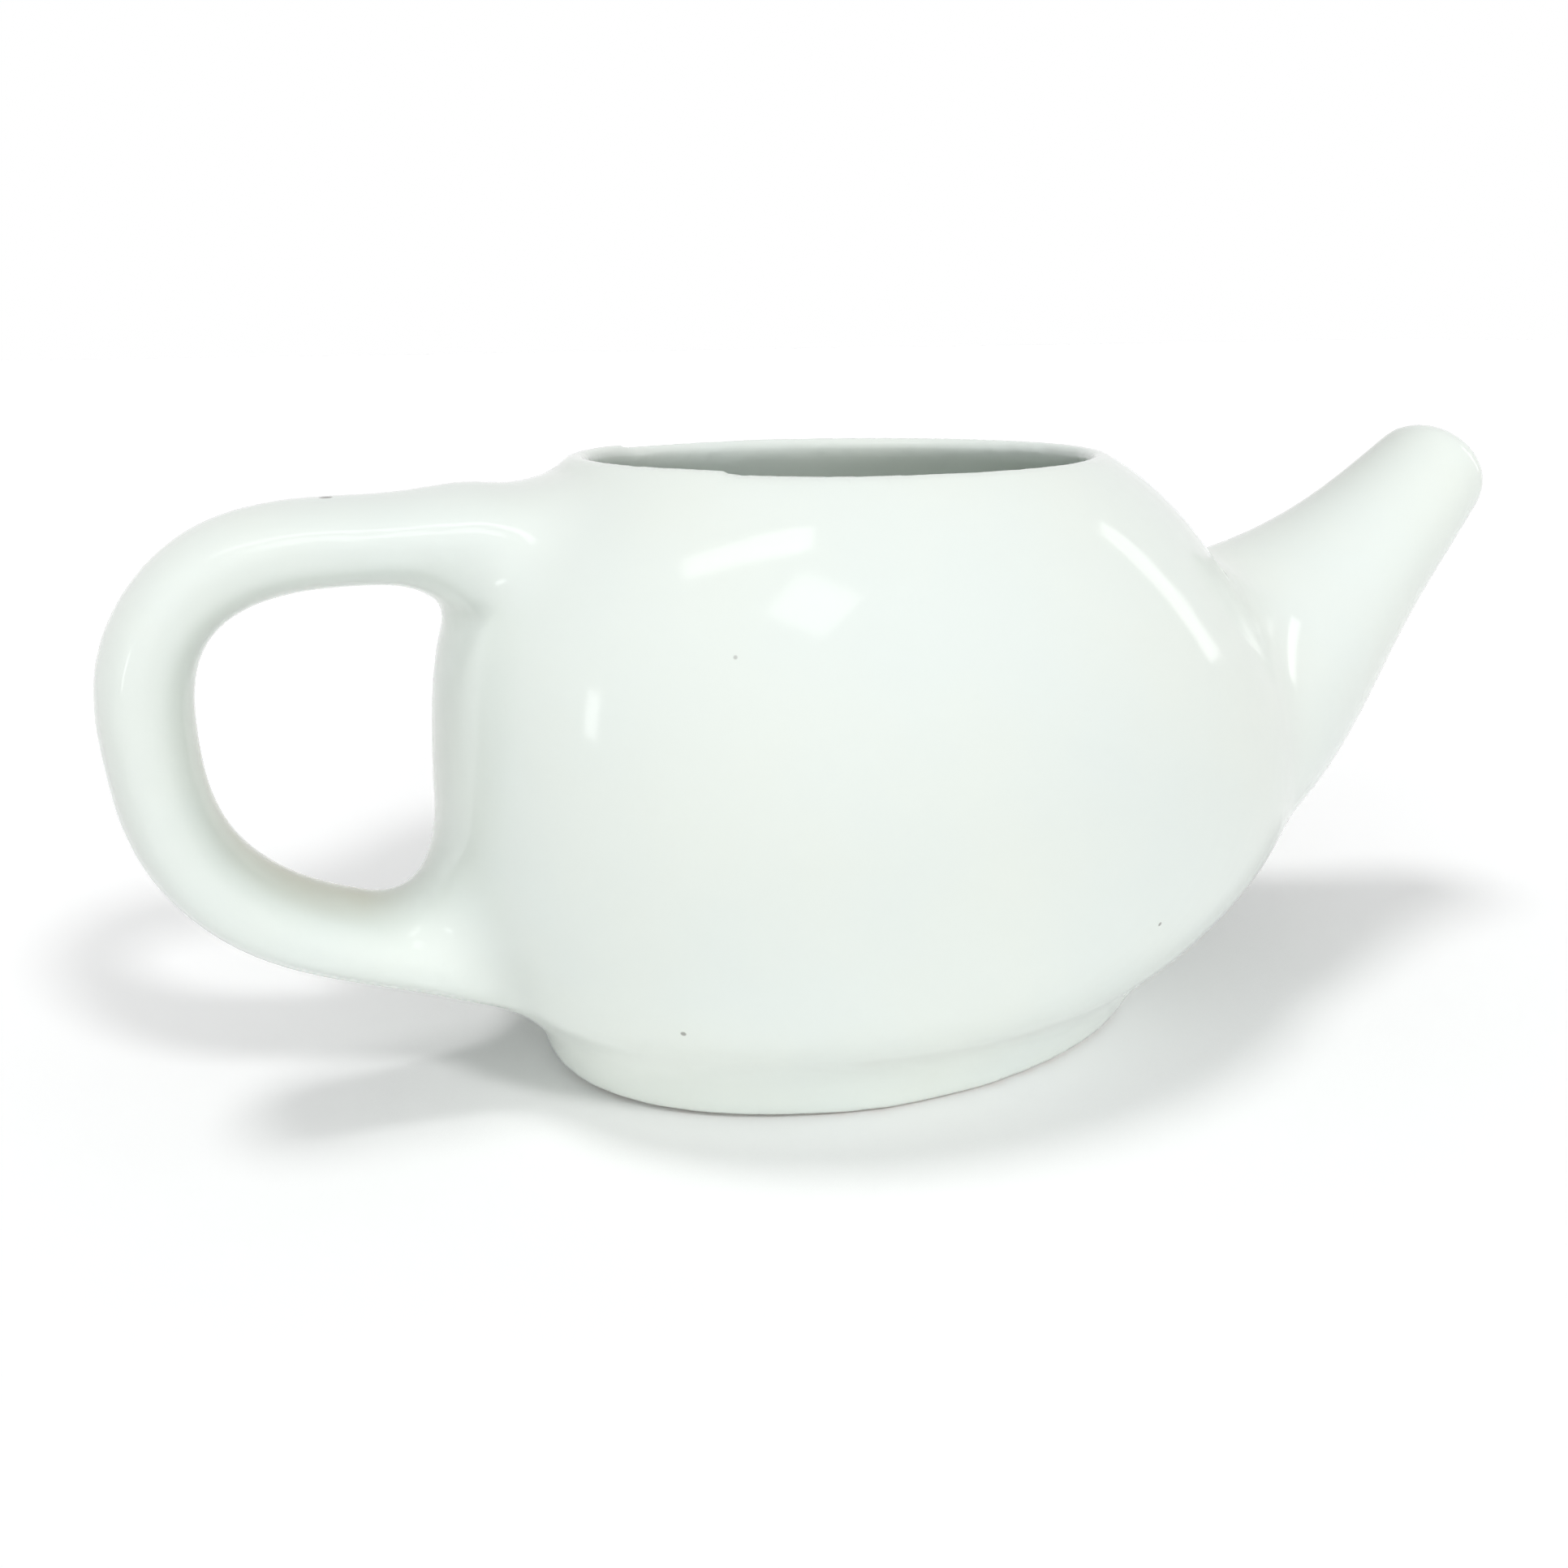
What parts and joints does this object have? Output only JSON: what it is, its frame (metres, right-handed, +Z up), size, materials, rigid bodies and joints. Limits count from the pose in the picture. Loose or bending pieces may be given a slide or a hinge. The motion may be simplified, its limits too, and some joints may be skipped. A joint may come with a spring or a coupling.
{
  "type": "neti pot",
  "caption": "Glazed ceramic neti pot with an oval body, an open rim, a tapered pouring spout with a small hole in its domed tip, and a loop handle.",
  "frame": {"origin": "on the surface the foot stands on, halfway along the whole length from the handle to the spout tip, in the plane of symmetry", "axes": "+X from the handle towards the spout, +Y across the pot, +Z up out of the open rim"},
  "size_m": [0.169, 0.0762, 0.068],
  "materials": {
    "glaze": "gloss"
  },
  "bodies": {
    "root": {"pot": "glaze"}
  },
  "joints": []
}
